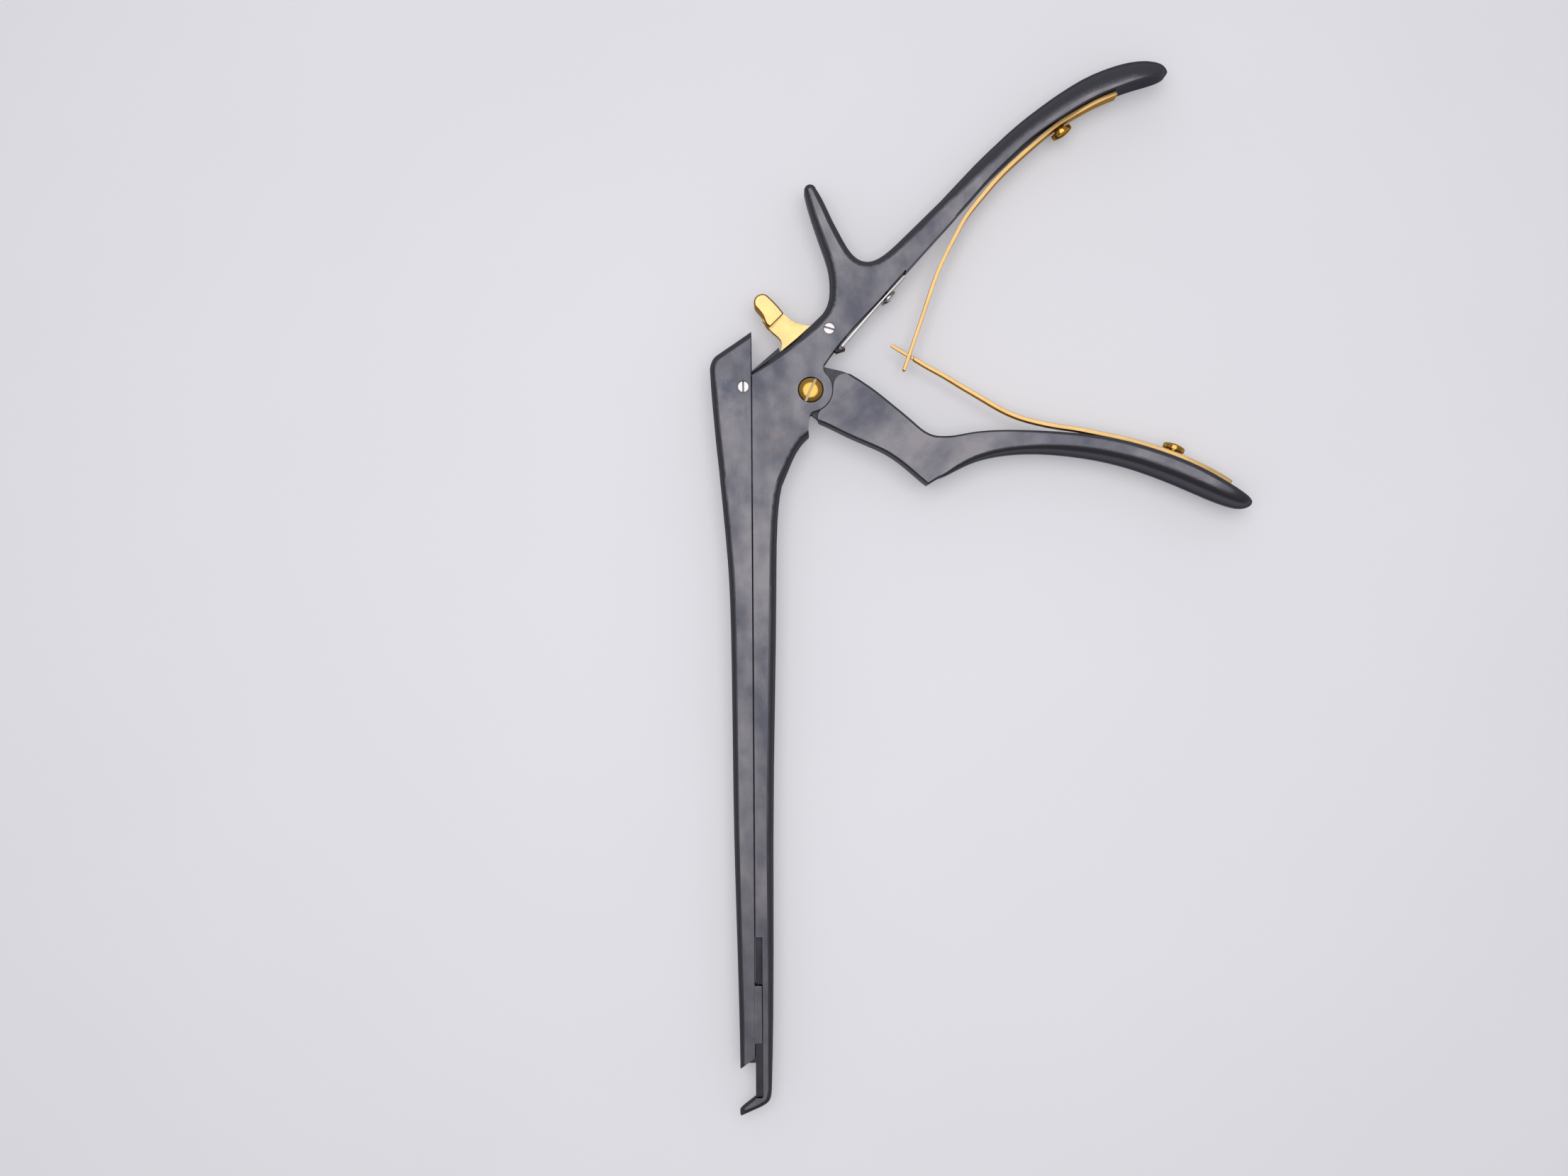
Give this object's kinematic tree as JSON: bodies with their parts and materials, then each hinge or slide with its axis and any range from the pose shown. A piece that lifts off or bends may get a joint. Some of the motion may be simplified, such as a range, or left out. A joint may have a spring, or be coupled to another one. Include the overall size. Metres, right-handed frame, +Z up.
{
  "type": "bone rongeur",
  "caption": "Hand-held bone punch with a sliding upper shaft, a fixed footplate, sprung handles and a thumb latch.",
  "frame": {"origin": "pivot axis of the trigger on the lower flat face of the frame", "axes": "+Y from the footplate towards the handles, +X towards the front handle, +Z up from the side it lies on"},
  "size_m": [0.1424, 0.2772, 0.0129],
  "materials": {
    "black_coat": "satin black coating, brushed flats",
    "gold_coat": "satin gold-coloured coating",
    "bright_steel": "bright"
  },
  "bodies": {
    "frame": {"fixed_frame": "black_coat", "ejector": "black_coat", "pivot_screw": "gold_coat", "latch_pivot_screw": "bright_steel", "latch_leaf_spring": "bright_steel", "latch_spring_screw": "bright_steel", "rear_spring_screw": "gold_coat"},
    "trigger": {"trigger_handle": "black_coat", "front_spring_screw": "gold_coat"},
    "slider": {"sliding_shaft": "black_coat", "slider_pin_screw": "bright_steel"},
    "latch": {"thumb_latch": "gold_coat"},
    "rear_spring": {"rear_leaf_spring": "gold_coat"},
    "front_spring": {"front_leaf_spring": "gold_coat"}
  },
  "joints": [
    {"name": "trigger_pivot", "type": "hinge", "parent": "frame", "child": "trigger", "pos_m": [0, 0, 0.00475], "axis": [0, 0, 1], "range_deg": [0, 33], "stiffness_Nm_per_rad": 0.5, "springref_deg": -20.05},
    {"name": "slider_slide", "type": "slide", "parent": "frame", "child": "slider", "axis": [0, -1, 0], "range_m": [0, 0.01105]},
    {"name": "latch_release", "type": "hinge", "parent": "frame", "child": "latch", "pos_m": [0.00496, 0.01606, 0.00475], "axis": [0, 0, 1], "range_deg": [-8, 0], "stiffness_Nm_per_rad": 0.05, "springref_deg": 17.19},
    {"name": "rear_spring_bend", "type": "hinge", "parent": "frame", "child": "rear_spring", "pos_m": [0.062, 0.066, 0.00475], "axis": [0, 0, 1], "range_deg": [-7.5, 0], "deforming": ["rear_leaf_spring"]},
    {"name": "front_spring_bend", "type": "hinge", "parent": "trigger", "child": "front_spring", "pos_m": [0.072, -0.012, 0.00475], "axis": [0, 0, 1], "range_deg": [0, 9.1], "deforming": ["front_leaf_spring"]}
  ],
  "couplings": [
    {"joint": "slider_slide", "follows": "trigger_pivot", "m_per_rad": 0.019133},
    {"joint": "rear_spring_bend", "follows": "trigger_pivot", "ratio": -0.225},
    {"joint": "front_spring_bend", "follows": "trigger_pivot", "ratio": 0.272}
  ]
}
